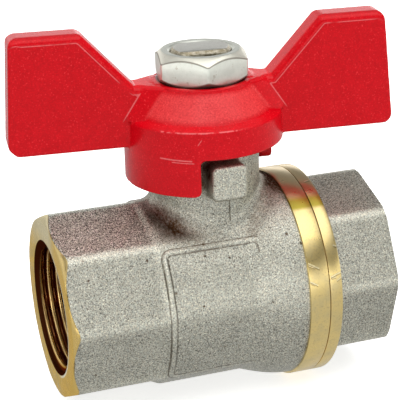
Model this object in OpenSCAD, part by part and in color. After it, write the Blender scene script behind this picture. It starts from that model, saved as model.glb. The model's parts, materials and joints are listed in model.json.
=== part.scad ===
// Two-piece ball valve with female threads at both ends and a butterfly handle.
// The pipe runs along X with the inlet mouth at the origin, and the stem stands up along Z.

/* [Pipe ends] */
// Major diameter of the female pipe threads
thread_d = 26.5; // [20:0.1:30]
// Length of thread in each end
thread_len = 15.5; // [10:0.5:17]
// Width of the countersink at each mouth, measured on the radius
mouth_chamfer = 0.35; // [0.1:0.05:0.45]
// Width across the flats of the octagonal ends
octagon_af = 36; // [34:0.5:38]
// Turn of the octagons about the pipe axis, which lifts their front edge
octagon_turn = 5; // [0:1:20]
// Radius of the octagon's rounded edges
octagon_round = 3.5; // [1:0.5:8]
// Diameter of the turned face at the inlet mouth
inlet_face_d = 36; // [32:0.5:37]
// Diameter of the turned face at the outlet mouth
outlet_face_d = 38; // [34:0.5:39]

/* [Body] */
// Distance from the inlet mouth to the stem axis
inlet_len = 33.4; // [33:0.1:36]
// Distance from the stem axis to the outlet mouth
outlet_len = 34.4; // [34:0.1:37]
// Diameter of the waterway
waterway_d = 20; // [15:0.5:21]
// Diameter of the round barrel round the ball
barrel_d = 37.8; // [37:0.2:40]
// Distance from the stem axis back to the end of the barrel
barrel_back = 14.6; // [13:0.1:16]
// Distance from the stem axis forward to where the flare starts
flare_start = 3.6; // [1:0.1:5]
// Diameter of the machined flange ring
ring_d = 43.6; // [42:0.2:47]
// Step on the radius from the flare up to the ring
flare_step = 0.4; // [0.2:0.1:1]
// Distance from the stem axis to the joint between body and end connector
joint_at = 18.1; // [17.5:0.1:19]
// Width of the body's part of the ring
ring_body_w = 4.2; // [3:0.1:5]
// Width of the end connector's part of the ring
ring_end_w = 2.7; // [2:0.1:4]
// Width of the raised border of the side panels
border_w = 1.1; // [0.8:0.1:2]
// Height of the raised border
border_h = 0.45; // [0.2:0.05:0.8]
// How far the side panels run on from where the flare starts
panel_run = 3; // [1:0.5:5]
// Angle from level up to the top border of a side panel
panel_top = 47; // [30:1:50]
// Angle from level down to the bottom border of a side panel
panel_bottom = 42; // [30:1:50]

/* [Body joint] */
// Diameter of the thread that joins end connector and body
joint_thread_d = 34.4; // [34:0.1:35]
// Play left round the joint thread and the seat rings
joint_play = 0.05; // [0.03:0.01:0.1]
// Distance from the stem axis to the shoulder that the gasket sits on
gasket_seat = 9; // [8.8:0.1:9.6]
// Thickness of the body gasket
gasket_t = 0.8; // [0.5:0.1:1.2]

/* [Ball and seats] */
// Diameter of the ball
ball_d = 30; // [29:0.2:30.4]
// Play between the ball and what surrounds it
ball_play = 0.6; // [0.4:0.1:0.8]
// Play between the ball and its seat rings
seat_play = 0.1; // [0.05:0.05:0.2]
// Outer diameter of the seat rings
seat_d = 27.8; // [27:0.2:28.4]
// Radial step from the waterway to the bore of the seat rings
seat_step = 0.3; // [0.1:0.1:0.6]
// Distance from the stem axis to the back of each seat ring
seat_back = 13.4; // [12.8:0.1:14]
// Distance from the stem axis to the front of each seat ring
seat_front = 7.8; // [7.4:0.1:9]
// Width of the drive slot in the ball
slot_w = 6; // [5:0.5:7]
// Depth of the drive slot
slot_depth = 4; // [3:0.5:4.5]

/* [Neck and stem] */
// Outer diameter of the neck
neck_d = 22; // [21:0.5:24]
// Height of the top of the neck above the pipe axis
neck_top = 32; // [31:0.5:33]
// Growth of the neck's radius at its root
neck_spread = 1.6; // [0.5:0.1:2.5]
// Height over which the neck spreads into the barrel
neck_blend = 10; // [8:0.5:12]
// Chamfer round the top of the neck
neck_chamfer = 0.6; // [0.2:0.1:1]
// Diameter of the stem and of its fine thread
stem_d = 12; // [10:0.5:12.5]
// Radial play of the stem in the neck
stem_play = 0.05; // [0.02:0.01:0.08]
// Diameter of the collar that keeps the stem in
collar_d = 16; // [15:0.5:16.5]
// Thickness of the collar
collar_t = 2.4; // [2:0.1:3]
// Thickness of the thrust washer on the collar
thrust_t = 1; // [0.6:0.1:1.4]
// Gap between the ball and the collar
collar_gap = 0.9; // [0.6:0.1:1.2]
// Width of the tongue that drives the ball
tongue_w = 5.7; // [5:0.1:5.8]
// Height of the lower stem seal groove above the pipe axis
seal_at = 22.4; // [22:0.1:24]
// Distance between the two stem seal grooves
seal_pitch = 4; // [3.5:0.1:5]
// Width of a stem seal groove
seal_groove_w = 2; // [1.8:0.1:2.4]
// Thickness of a stem seal
seal_t = 1.4; // [1.2:0.05:1.6]
// Width across the flats of the stem's top
stem_flats = 8; // [7:0.5:9]
// Height of the stem's tip above the pipe axis
stem_top = 49.8; // [49:0.1:51]
// Chamfer at the stem's tip
stem_tip_chamfer = 0.7; // [0.4:0.1:1]

/* [Stop lug] */
// Width of the stop lug
lug_w = 7.2; // [5:0.1:8]
// How far the middle of the lug lies towards the outlet
lug_shift = 0.2; // [0:0.05:0.6]
// Height of the underside of the lug
lug_bottom = 22.7; // [21:0.1:24]
// Height of the top of the lug
lug_top = 29.8; // [28:0.1:30.5]
// Distance from the stem axis to the face of the lug
lug_reach = 15; // [14.5:0.1:15.5]
// Radius of the lug's rounded corners
lug_round = 1.2; // [0.5:0.1:2]

/* [Handle] */
// Turn of the handle, as it stands, back from fully open
handle_turn = 7; // [0:1:80]
// Height of the seat that the handle rests on
handle_seat = 34; // [33.5:0.1:34.5]
// Height of the face under the nut, which is also the top of the bridges to the wings
nut_seat = 43.7; // [43:0.1:45]
// Diameter of the hub under the nut
hub_top_d = 20; // [18:0.5:21]
// Height of the narrow collar under the nut
hub_collar_h = 0.65; // [0.3:0.05:1]
// Diameter of the cone at its foot
cone_foot_d = 27; // [26:0.2:29]
// Height of the foot of the cone
cone_foot = 37.65; // [37.3:0.05:38.5]
// Diameter of the ledge round the cone's foot
ledge_d = 31; // [29.6:0.2:31.4]
// Height of the ledge's edge
ledge = 36.95; // [36:0.05:37.1]
// Diameter of the skirt at its rim
skirt_d = 31.7; // [30.4:0.1:34]
// Chamfer round the rim of the skirt
rim_chamfer = 0.5; // [0.2:0.1:0.8]
// Wall of the skirt
skirt_wall = 2.4; // [1.8:0.1:2.8]
// Height of the rim of the deep part of the skirt
skirt_deep = 24.1; // [23:0.1:26]
// Height of the rim over the stop lug
skirt_shallow = 31.5; // [31:0.1:32]
// Gap between the lug and the skirt's edges when fully open or closed
stop_gap = 0.35; // [0.2:0.05:0.6]
// Thickness of the wings
wing_t = 6.8; // [5:0.1:8]
// Distance from the stem axis to the wing's lower outer corner
wing_reach = 38.8; // [34:0.2:44]
// How far the wing's top outer corner is drawn in
wing_lean = 1.9; // [0:0.1:4]
// Height of the bottom of the wings at the hub
wing_bottom = 31.7; // [31:0.1:34]
// Height of the top of the wings
wing_top = 54.8; // [50:0.2:60]
// Distance from the stem axis to where the wing's top starts to fall
wing_fall = 23.6; // [20:0.2:28]
// Distance from the stem axis to the foot of the fall
wing_foot = 13.6; // [12:0.1:16]
// Radius of the rounded edges along the wing's top and its fall
wing_edge = 1.4; // [0.5:0.1:2.5]
// Radius of the wing's outer corners
wing_round = 3; // [1:0.2:5]
// Width of the ramps in the corners between hub and wings
ramp_leg = 2.4; // [1:0.1:3.5]

/* [Lock nut] */
// Width across the flats of the nut
nut_af = 17; // [16:0.5:19]
// Height of the nut
nut_h = 5.75; // [4.5:0.05:6]
// Turn of the nut about the stem axis from a corner facing front
nut_turn = 11; // [0:1:59]
// Diameter of the round face on top of the nut
nut_face_d = 15.5; // [15:0.1:16]
// Drop of the top chamfer at the nut's corners
nut_chamfer = 1.6; // [0.6:0.05:1.8]
// Diameter of the round face under the nut
nut_foot_d = 16.8; // [15.5:0.1:17]
// Rise of the bottom chamfer at the nut's corners
nut_foot_chamfer = 1.2; // [0.4:0.05:1.4]
// Radial width of the countersink in the nut
nut_sink = 0.4; // [0.2:0.05:0.8]

/* [Hidden] */
$fn = 96;
eps = 0.01;
overall_len = inlet_len + outlet_len;
seam_x = inlet_len + joint_at;
ring_start = seam_x - ring_body_w;
ring_end = seam_x + ring_end_w;
seat_bore = waterway_d + 2 * seat_step;
cavity_d = ball_d + 2 * ball_play;
spigot_start = gasket_seat + gasket_t;
collar_bottom = ball_d / 2 + collar_gap;
thrust_bottom = collar_bottom + collar_t;
neck_shoulder = thrust_bottom + thrust_t + stem_play;
ball_slot_bottom = ball_d / 2 - slot_depth;
groove_d = stem_d - 2 * (seal_t + stem_play);
border_r = barrel_d / 2 + border_h;
wing_half = wing_t / 2;
wing_top_reach = wing_reach - wing_lean;

// A profile of [radius, x] points turned about the pipe axis.
module turned_on_pipe(points) {
    rotate([0, 90, 0])
        rotate_extrude()
            polygon(points);
}

// A round bore on the pipe axis from x = a to x = b.
module pipe_bore(d, a, b) {
    translate([a, 0, 0])
        rotate([0, 90, 0])
            cylinder(d = d, h = b - a);
}

// Points of a regular polygon whose corners are rounded by arcs.
function rounded_polygon(sides, af, r, steps) =
    [for (k = [0 : sides - 1], s = [0 : steps])
        let (corner = 360 * k / sides,
             middle = (af / 2 - r) / cos(180 / sides),
             a = corner - 180 / sides + 360 / sides * s / steps)
        [middle * cos(corner) + r * cos(a), middle * sin(corner) + r * sin(a)]];

// Points of an arc about a centre, from one angle to another.
function arc(centre, r, from, to, steps) =
    [for (s = [0 : steps])
        let (a = from + (to - from) * s / steps)
        [centre[0] + r * cos(a), centre[1] + r * sin(a)]];

// An octagonal bar along the pipe between two places, with a corner facing up.
module octagon_bar(a, b) {
    translate([a, 0, 0])
        rotate([-octagon_turn, 0, 0])
            rotate([0, 90, 0])
                linear_extrude(b - a)
                    polygon(rounded_polygon(8, octagon_af, octagon_round, 4));
}

// The octagonal end, whose corners are turned away at the mouth at 45 degrees.
module pipe_end(length, face_d) {
    intersection() {
        octagon_bar(0, length);
        turned_on_pipe([[0, 0], [face_d / 2, 0], [face_d / 2 + length, length], [0, length]]);
    }
}

// The threaded bore with its countersink and the waterway behind it, from the mouth to x = length.
module mouth_bore(length) {
    turned_on_pipe([
        [0, -eps],
        [thread_d / 2 + mouth_chamfer + eps, -eps],
        [thread_d / 2, mouth_chamfer],
        [thread_d / 2, thread_len],
        [waterway_d / 2, thread_len + (thread_d - waterway_d) / 4],
        [waterway_d / 2, length],
        [0, length]]);
}

// The raised border of one side panel, a band of the barrel less a smaller band.
module side_panel() {
    x_start = inlet_len - barrel_back;
    x_end = inlet_len + flare_start + panel_run;
    inner = [panel_top - atan(border_w / border_r), panel_bottom - atan(border_w / border_r)];
    difference() {
        panel_band(x_start, x_end, panel_top, panel_bottom, border_r);
        panel_band(x_start + border_w, x_end + border_w, inner[0], inner[1], border_r + 1);
    }
}

// A wedge of a drum about the pipe axis on the front side, between two angles from level.
module panel_band(a, b, up, down, r) {
    far = 2 * r;
    intersection() {
        pipe_bore(2 * r, a, b);
        translate([a - 1, 0, 0])
            rotate([90, 0, 90])
                linear_extrude(b - a + 2)
                    polygon([[0, 0], [-far * cos(up), far * sin(up)], [-far, 0],
                        [-far * cos(down), -far * sin(down)]]);
    }
}

// Barrel, flare and flange as one turned form.
module barrel() {
    start = inlet_len - barrel_back;
    rise = (barrel_d - octagon_af) / 2;
    flare_x = inlet_len + flare_start;
    run = ring_start - flare_x;
    climb = ring_d / 2 - flare_step - barrel_d / 2;
    turned_on_pipe(concat(
        [[0, start - rise], [octagon_af / 2, start - rise], [barrel_d / 2, start + rise]],
        [for (s = [0 : 8]) let (t = s / 8) [barrel_d / 2 + climb * sin(90 * t), flare_x + run * t]],
        [[ring_d / 2, ring_start], [ring_d / 2, seam_x], [0, seam_x]]));
}

// The neck, which spreads a little where it grows out of the barrel.
module neck() {
    r = neck_d / 2;
    foot = barrel_d / 2 - 0.7 * neck_blend;
    translate([inlet_len, 0, 0])
        rotate_extrude()
            polygon(concat(
                [[0, 0], [r + neck_spread, 0]],
                [for (s = [0 : 5]) let (t = s / 5) [r + neck_spread * pow(1 - t, 2), foot + neck_blend * t]],
                [[r, neck_top - neck_chamfer], [r - neck_chamfer, neck_top], [0, neck_top]]));
}

// The lug that stops the handle, with rounded corners, standing out of the front of the neck.
module stop_lug() {
    w = lug_w / 2 - lug_round;
    h = (lug_top - lug_bottom) / 2 - lug_round;
    face = concat(
        arc([w, h], lug_round, 0, 90, 6), arc([-w, h], lug_round, 90, 180, 6),
        arc([-w, -h], lug_round, 180, 270, 6), arc([w, -h], lug_round, 270, 360, 6));
    plan = concat(
        [[lug_w / 2, 0], [-lug_w / 2, 0]],
        arc([-w, lug_round - lug_reach], lug_round, 180, 270, 6),
        arc([w, lug_round - lug_reach], lug_round, 270, 360, 6));
    translate([inlet_len + lug_shift, 0, 0])
        intersection() {
            translate([0, 0, (lug_top + lug_bottom) / 2])
                rotate([90, 0, 0])
                    linear_extrude(lug_reach + 1)
                        polygon(face);
            linear_extrude(neck_top)
                polygon(plan);
        }
}

module valve_body() {
    color([0.68, 0.66, 0.62])
        difference() {
            union() {
                pipe_end(inlet_len - barrel_back + 1, inlet_face_d);
                barrel();
                side_panel();
                mirror([0, 1, 0]) side_panel();
                neck();
                stop_lug();
            }
            mouth_bore(inlet_len);
            pipe_bore(seat_d + 2 * joint_play, inlet_len - seat_back, inlet_len);
            pipe_bore(cavity_d, inlet_len - seat_front, inlet_len + gasket_seat + eps);
            pipe_bore(joint_thread_d + 2 * joint_play, inlet_len + gasket_seat, seam_x + 1);
            translate([inlet_len, 0, 0])
                cylinder(d = collar_d + 2 * ball_play, h = neck_shoulder);
            translate([inlet_len, 0, 0])
                cylinder(d = stem_d + 2 * stem_play, h = neck_top + 1);
        }
}

module end_connector() {
    color([0.68, 0.66, 0.62])
        difference() {
            union() {
                translate([overall_len, 0, 0])
                    mirror([1, 0, 0])
                        pipe_end(outlet_len - joint_at - ring_end_w + 1, outlet_face_d);
                pipe_bore(ring_d, seam_x, ring_end);
                pipe_bore(joint_thread_d, inlet_len + spigot_start, seam_x + 1);
            }
            translate([overall_len, 0, 0])
                mirror([1, 0, 0])
                    mouth_bore(outlet_len);
            pipe_bore(seat_d + 2 * joint_play, inlet_len, inlet_len + seat_back);
        }
}

// A seat ring whose front is cut to the ball.
module seat_ring() {
    difference() {
        pipe_bore(seat_d, inlet_len - seat_back, inlet_len - seat_front);
        pipe_bore(seat_bore, inlet_len - seat_back - 1, inlet_len);
        translate([inlet_len, 0, 0])
            sphere(d = ball_d + 2 * seat_play);
    }
}

module inlet_seat() {
    color("white") seat_ring();
}

module outlet_seat() {
    color("white")
        translate([2 * inlet_len, 0, 0])
            mirror([1, 0, 0])
                seat_ring();
}

module body_gasket() {
    color("seagreen")
        difference() {
            pipe_bore(joint_thread_d, inlet_len + gasket_seat, inlet_len + spigot_start);
            pipe_bore(cavity_d, inlet_len + gasket_seat - 1, inlet_len + spigot_start + 1);
        }
}

// Everything that turns is drawn fully open and then turned back about the stem axis.
module on_stem() {
    translate([inlet_len, 0, 0])
        rotate([0, 0, -handle_turn])
            children();
}

module ball() {
    color([0.85, 0.86, 0.88])
        on_stem()
            difference() {
                sphere(d = ball_d);
                rotate([0, 90, 0])
                    cylinder(d = waterway_d, h = ball_d + 2, center = true);
                translate([-slot_w / 2, -ball_d / 2, ball_slot_bottom])
                    cube([slot_w, ball_d, ball_d]);
            }
}

module stem() {
    r = stem_d / 2;
    seal_z = [seal_at, seal_at + seal_pitch];
    tongue_bottom = ball_slot_bottom + (slot_w - tongue_w);
    color([0.80, 0.79, 0.74])
        on_stem()
            difference() {
                union() {
                    intersection() {
                        cylinder(d = collar_d - 1, h = collar_bottom + 1);
                        translate([-tongue_w / 2, -collar_d / 2, tongue_bottom])
                            cube([tongue_w, collar_d, collar_bottom]);
                    }
                    rotate_extrude()
                        polygon([
                            [0, collar_bottom], [collar_d / 2, collar_bottom], [collar_d / 2, thrust_bottom],
                            [r, thrust_bottom], [r, stem_top - stem_tip_chamfer],
                            [r - stem_tip_chamfer, stem_top], [0, stem_top]]);
                }
                for (z = seal_z)
                    translate([0, 0, z])
                        difference() {
                            cylinder(d = stem_d + 2, h = seal_groove_w);
                            translate([0, 0, -1]) cylinder(d = groove_d, h = seal_groove_w + 2);
                        }
                for (side = [-1, 1])
                    translate([-stem_d, side * (stem_flats / 2 + stem_d / 2) - stem_d / 2, handle_seat])
                        cube([2 * stem_d, stem_d, stem_top]);
            }
}

module thrust_washer() {
    color("ivory")
        on_stem()
            translate([0, 0, thrust_bottom])
                difference() {
                    cylinder(d = collar_d, h = thrust_t);
                    translate([0, 0, -1]) cylinder(d = stem_d + 2 * stem_play, h = thrust_t + 2);
                }
}

// An O-ring in its groove.
module stem_seal(z) {
    color([0.12, 0.12, 0.12])
        on_stem()
            translate([0, 0, z + seal_groove_w / 2])
                rotate_extrude()
                    translate([(stem_d - seal_t) / 2, 0])
                        circle(d = seal_t, $fn = 32);
}

module lower_stem_seal() {
    stem_seal(seal_at);
}

module upper_stem_seal() {
    stem_seal(seal_at + seal_pitch);
}

// Outline of one wing, seen from the front. Its top and its fall are drawn in by some inset.
function wing_points(inset) =
    let (corner = wing_round - inset,
         middle = wing_top - wing_round,
         steep = atan2(wing_top - nut_seat, wing_fall - wing_foot),
         shift = inset / sin(steep))
    concat(
        [[wing_foot + shift, wing_bottom]],
        arc([wing_reach - wing_round, wing_bottom + wing_round], wing_round, -90, 0, 6),
        arc([wing_top_reach - wing_round, middle], corner, 0, 90, 6),
        arc([wing_fall + corner * tan(steep / 2), middle], corner, 90, 90 + steep, 4),
        [[wing_foot + shift, nut_seat]]);

// One wing, whose slices of growing inset round the edges of its two faces along the top.
module wing() {
    hull()
        for (s = [0 : 2])
            rotate([90, 0, 0])
                linear_extrude(2 * (wing_half - wing_edge * (1 - sin(45 * s))), center = true)
                    polygon(wing_points(wing_edge * (1 - cos(45 * s))));
}

// Plan of the two ramps beside one wing, at a level where the cone of the hub has radius r.
function ramp_plan(r) =
    let (root = sqrt(pow(r, 2) - pow(wing_half + ramp_leg, 2)),
         tip = sqrt(pow(r + ramp_leg, 2) - pow(wing_half, 2)))
    [[0, -wing_half - ramp_leg], [root, -wing_half - ramp_leg], [tip, -wing_half],
     [tip, wing_half], [root, wing_half + ramp_leg], [0, wing_half + ramp_leg]];

// Wing, bridge and ramps on one side of the hub.
module handle_side() {
    wing();
    translate([0, -wing_half, wing_bottom])
        cube([wing_foot + wing_edge, wing_t, nut_seat - wing_bottom]);
    translate([0, 0, ledge])
        linear_extrude(cone_foot - ledge + eps)
            polygon(ramp_plan(cone_foot_d / 2));
    hull() {
        translate([0, 0, cone_foot])
            linear_extrude(eps)
                polygon(ramp_plan(cone_foot_d / 2));
        translate([0, 0, nut_seat - eps])
            linear_extrude(eps)
                polygon(ramp_plan(hub_top_d / 2));
    }
}

module handle() {
    open_edge = lug_w / 2 - lug_shift + stop_gap;
    closed_edge = lug_w / 2 + lug_shift + stop_gap;
    color([0.80, 0.08, 0.12])
        on_stem()
            difference() {
                union() {
                    rotate_extrude()
                        polygon([
                            [0, skirt_deep], [skirt_d / 2 - rim_chamfer, skirt_deep],
                            [skirt_d / 2, skirt_deep + rim_chamfer], [skirt_d / 2, wing_bottom],
                            [ledge_d / 2, ledge], [cone_foot_d / 2, cone_foot],
                            [hub_top_d / 2, nut_seat - hub_collar_h], [hub_top_d / 2, nut_seat],
                            [0, nut_seat]]);
                    handle_side();
                    rotate([0, 0, 180]) handle_side();
                }
                translate([0, 0, skirt_deep - 1])
                    cylinder(d = skirt_d - 2 * skirt_wall, h = handle_seat - skirt_deep + 1);
                translate([-open_edge, -skirt_d, skirt_deep - 1])
                    cube([2 * skirt_d, skirt_d + closed_edge, skirt_shallow - skirt_deep + 1]);
                intersection() {
                    cylinder(d = stem_d + 2 * stem_play, h = nut_seat + 1);
                    cube([2 * stem_d, stem_flats + 2 * stem_play, 3 * nut_seat], center = true);
                }
            }
}

module lock_nut() {
    corner_r = nut_af / 2 / cos(30);
    bore_r = stem_d / 2 + stem_play;
    color([0.80, 0.80, 0.76])
        translate([inlet_len, 0, nut_seat])
            rotate([0, 0, -nut_turn - 90])
                difference() {
                    intersection() {
                        cylinder(r = corner_r, h = nut_h, $fn = 6);
                        rotate_extrude()
                            polygon([
                                [0, 0], [nut_foot_d / 2, 0], [corner_r + eps, nut_foot_chamfer],
                                [corner_r + eps, nut_h - nut_chamfer], [nut_face_d / 2, nut_h], [0, nut_h]]);
                    }
                    rotate_extrude()
                        polygon([
                            [0, -1], [bore_r, -1], [bore_r, nut_h - nut_sink],
                            [bore_r + nut_sink, nut_h], [bore_r + nut_sink, nut_h + 1], [0, nut_h + 1]]);
                }
}

valve_body();
end_connector();
inlet_seat();
outlet_seat();
body_gasket();
ball();
stem();
thrust_washer();
lower_stem_seal();
upper_stem_seal();
handle();
lock_nut();
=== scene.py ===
"""A ball valve with female threads and a butterfly handle: its looks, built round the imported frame."""
import json
import math

import bpy
import numpy as np
from mathutils import Matrix, Vector


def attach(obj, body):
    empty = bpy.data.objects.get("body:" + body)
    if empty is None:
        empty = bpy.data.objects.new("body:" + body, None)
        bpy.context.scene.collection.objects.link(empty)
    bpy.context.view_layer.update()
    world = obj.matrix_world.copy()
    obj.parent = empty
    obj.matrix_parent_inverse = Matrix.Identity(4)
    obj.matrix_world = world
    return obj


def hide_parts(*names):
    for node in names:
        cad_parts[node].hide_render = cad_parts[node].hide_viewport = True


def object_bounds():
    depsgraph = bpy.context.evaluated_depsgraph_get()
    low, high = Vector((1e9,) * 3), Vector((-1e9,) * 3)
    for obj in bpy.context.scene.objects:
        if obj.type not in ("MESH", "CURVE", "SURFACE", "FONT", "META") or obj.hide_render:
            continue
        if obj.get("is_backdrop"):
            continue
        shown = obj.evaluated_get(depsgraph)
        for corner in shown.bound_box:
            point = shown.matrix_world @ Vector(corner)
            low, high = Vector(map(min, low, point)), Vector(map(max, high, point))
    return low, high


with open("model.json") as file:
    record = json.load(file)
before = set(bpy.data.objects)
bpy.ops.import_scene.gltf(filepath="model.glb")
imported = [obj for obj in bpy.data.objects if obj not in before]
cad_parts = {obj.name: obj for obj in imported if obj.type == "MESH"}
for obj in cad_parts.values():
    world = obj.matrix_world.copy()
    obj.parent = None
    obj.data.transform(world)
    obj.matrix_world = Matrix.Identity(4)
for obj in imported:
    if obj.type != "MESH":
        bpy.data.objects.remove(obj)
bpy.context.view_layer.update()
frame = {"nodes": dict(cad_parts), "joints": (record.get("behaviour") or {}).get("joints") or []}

# ---------------------------------------------------------------------------------------------
# Valve body: a brass hot forging with an octagonal inlet, a barrel round the ball, a neck for the
# stem and a lug that stops the handle. It is sand-blasted and nickel-plated before it is machined.
# ---------------------------------------------------------------------------------------------
MM = 0.001
STEM_X = frame["joints"][0]["pos_m"][0] / MM
OVERALL = 67.8
octagon_apothem = 18.0
octagon_round = 3.5
octagon_turn = math.radians(5)
barrel_r = 18.9
barrel_start = STEM_X - 14.6
flare_start = STEM_X + 3.6
ring_start = STEM_X + 13.9
seam_x = STEM_X + 18.1
ring_end = STEM_X + 20.8
ring_r = 21.8
flare_r = 21.35
neck_r = 11.0
neck_top = 32.0
neck_fillet = 2.8
lug_left, lug_right = -3.4, 3.8
lug_low, lug_high, lug_reach = 22.7, 29.8, 15.0
inlet_face_r = 18.0
mouth_r, mouth_depth = 13.6, 16.0
waterway_r = 10.0
seat_pocket_r, seat_back = 13.95, 13.4
chamber_r, chamber_back, gasket_seat = 15.6, 7.8, 9.0
joint_hole_r = 17.25
collar_hole_r, collar_hole_top = 8.6, 19.35
stem_hole_r = 6.05
parting_x, parting_low, parting_high, parting_r = STEM_X + 1.0, 17.2, 21.6, 0.22
rib_width, rib_height = 1.05, 0.42
rib_start, rib_end = STEM_X - 13.5, STEM_X + 6.1
panel_top, panel_bottom = math.radians(45), math.radians(-40.3)


def octagon_distance(y, z, apothem, corner):
    """Distance to a long octagonal bar: the angle is folded into one flat, and each edge is an arc."""
    around = np.arctan2(z, -y) - octagon_turn
    fold = around % (math.pi / 4) - math.pi / 8
    radius = np.hypot(y, z)
    out = radius * np.cos(fold) - (apothem - corner)
    along = np.abs(radius * np.sin(fold)) - (apothem - corner) * math.tan(math.pi / 8)
    beyond = np.hypot(np.maximum(out, 0), np.maximum(along, 0)) + np.minimum(out, 0)
    return beyond - corner


def joined(a, b, r):
    """Union of two forms with a fillet of radius r in the inner corner between them."""
    u, v = np.maximum(r - a, 0), np.maximum(r - b, 0)
    return np.maximum(r, np.minimum(a, b)) - np.hypot(u, v)


def common(a, b, r):
    """What two forms share, with its edge rounded to radius r."""
    u, v = np.maximum(r + a, 0), np.maximum(r + b, 0)
    return np.minimum(-r, np.maximum(a, b)) + np.hypot(u, v)


def between(x, a, b):
    """Distance to a slab from a to b."""
    return np.abs(x - (a + b) / 2) - (b - a) / 2


def flare_radius(x):
    """Radius of barrel and flare along the pipe: a quarter sine from the barrel up to the ring."""
    t = np.clip((x - flare_start) / (ring_start - flare_start), 0, 1)
    return barrel_r + (flare_r - barrel_r) * np.sin(t * math.pi / 2)


def rib_gap(x, y, z):
    """Distance along the barrel from the middle line of the panel border, a round-cornered frame."""
    angle = np.arctan2(z, np.abs(y))
    top, bottom = barrel_r * panel_top, barrel_r * panel_bottom
    corner = 1.5
    s = np.abs(angle * barrel_r - (top + bottom) / 2) - (top - bottom) / 2 + corner
    t = np.abs(x - (rib_start + rib_end) / 2) - (rib_end - rib_start) / 2 + corner
    return np.abs(np.hypot(np.maximum(s, 0), np.maximum(t, 0)) + np.minimum(np.maximum(s, t), 0) - corner)


def body_form(p):
    """Distance to the forging and its bores, in millimetres, from the rounded unions of its parts."""
    x, y, z = p
    radius = np.hypot(y, z)
    octagon = octagon_distance(y, z, octagon_apothem, octagon_round)
    mouth = np.maximum((radius - inlet_face_r - x) * math.sqrt(0.5), -x) + 0.1
    inlet = common(common(octagon, mouth, 0.1), x - seam_x, 0.1)
    barrel = common(radius - flare_radius(x), between(x, barrel_start, seam_x - 0.3), 1.0)
    ribs = radius - barrel_r - rib_height
    ribs = common(ribs, rib_gap(x, y, z) - rib_width / 2, 0.35)
    solid = joined(inlet, barrel, 0.9)
    solid = joined(solid, ribs, 0.15)
    from_stem = np.hypot(x - STEM_X, y)
    neck = common(from_stem - neck_r, np.abs(z) - neck_top, 0.6)
    neck = np.maximum(neck, -z)
    solid = joined(solid, neck, neck_fillet)
    side = between(x, STEM_X + lug_left, STEM_X + lug_right)
    lug = common(side, between(z, lug_low, lug_high), 1.3)
    lug = common(lug, between(y, -lug_reach, 0), 0.9)
    solid = joined(solid, lug, 0.9)
    parting = np.hypot(x - parting_x, np.maximum(between(z, parting_low, parting_high), 0)) - parting_r
    solid = joined(solid, np.maximum(np.maximum(parting, y), from_stem - neck_r - 0.16), 0.1)
    bores = [
        common(radius - mouth_r, between(x, -1, mouth_depth), 0.05),
        common(radius - waterway_r, between(x, 0, 60.0), 0.05),
        common(radius - seat_pocket_r, between(x, STEM_X - seat_back, STEM_X), 0.05),
        common(radius - chamber_r, between(x, STEM_X - chamber_back, STEM_X + gasket_seat), 0.3),
        common(radius - joint_hole_r, between(x, STEM_X + gasket_seat, STEM_X + 30), 0.05),
        common(from_stem - collar_hole_r, between(z, 0, collar_hole_top), 0.05),
        common(from_stem - stem_hole_r, between(z, 0, 40), 0.05),
    ]
    for bore in bores:
        solid = common(solid, -bore, 0.1)
    return solid


def steepest(form, points, probe=0.02):
    """Slope of a distance field at each point, from its differences over a short way."""
    ahead = np.stack([form((points + probe * axis).T) for axis in np.eye(3)], 1)
    behind = np.stack([form((points - probe * axis).T) for axis in np.eye(3)], 1)
    return (ahead - behind) / (2 * probe)


def skinned(form, low, high, step):
    """Surface nets: one vertex in each grid cell that the surface crosses, drawn onto it, and a
    quad round each grid edge that the surface crosses."""
    axes = [np.arange(a, b + step, step) for a, b in zip(low, high)]
    field = form(np.meshgrid(*axes, indexing="ij")).astype(np.float64)
    inside = field < 0
    shape = np.array(field.shape) - 1
    corners = [np.array([i, j, k]) for i in (0, 1) for j in (0, 1) for k in (0, 1)]
    count = np.zeros(shape, int)
    for c in corners:
        count += inside[c[0]:c[0] + shape[0], c[1]:c[1] + shape[1], c[2]:c[2] + shape[2]]
    cell = np.argwhere((count > 0) & (count < 8))
    number = -np.ones(shape, int)
    number[tuple(cell.T)] = np.arange(len(cell))
    total, hits = np.zeros((len(cell), 3)), np.zeros(len(cell))
    for a in corners:
        for axis in range(3):
            if a[axis]:
                continue
            b = a.copy()
            b[axis] = 1
            fa, fb = field[tuple((cell + a).T)], field[tuple((cell + b).T)]
            crossed = (fa < 0) != (fb < 0)
            t = np.where(crossed, fa / np.where(crossed, fa - fb, 1), 0)
            total += crossed[:, None] * (a + t[:, None] * (b - a))
            hits += crossed
    points = (cell + total / hits[:, None]) * step + np.array(low)
    for _ in range(4):
        slope = steepest(form, points)
        size = np.maximum((slope ** 2).sum(1), 0.2)
        move = slope * (form(points.T) / size)[:, None]
        points = points - np.clip(move, -0.5 * step, 0.5 * step)
    quads = []
    for axis in range(3):
        u, v = (axis + 1) % 3, (axis + 2) % 3
        first = [slice(None)] * 3
        second = [slice(None)] * 3
        first[axis], second[axis] = slice(0, -1), slice(1, None)
        edge = np.argwhere(inside[tuple(first)] != inside[tuple(second)])
        edge = edge[(edge[:, u] > 0) & (edge[:, v] > 0)]
        edge = edge[(edge[:, u] < shape[u]) & (edge[:, v] < shape[v])]
        ring = []
        for du, dv in ((0, 0), (1, 0), (1, 1), (0, 1)):
            c = edge.copy()
            c[:, u] -= du
            c[:, v] -= dv
            ring.append(number[tuple(c.T)])
        quad = np.stack(ring, 1)
        flip = ~inside[tuple(edge.T)]
        quad[flip] = quad[flip][:, ::-1]
        quads.append(quad)
    return points, np.concatenate(quads), steepest(form, points, 0.05)


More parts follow.
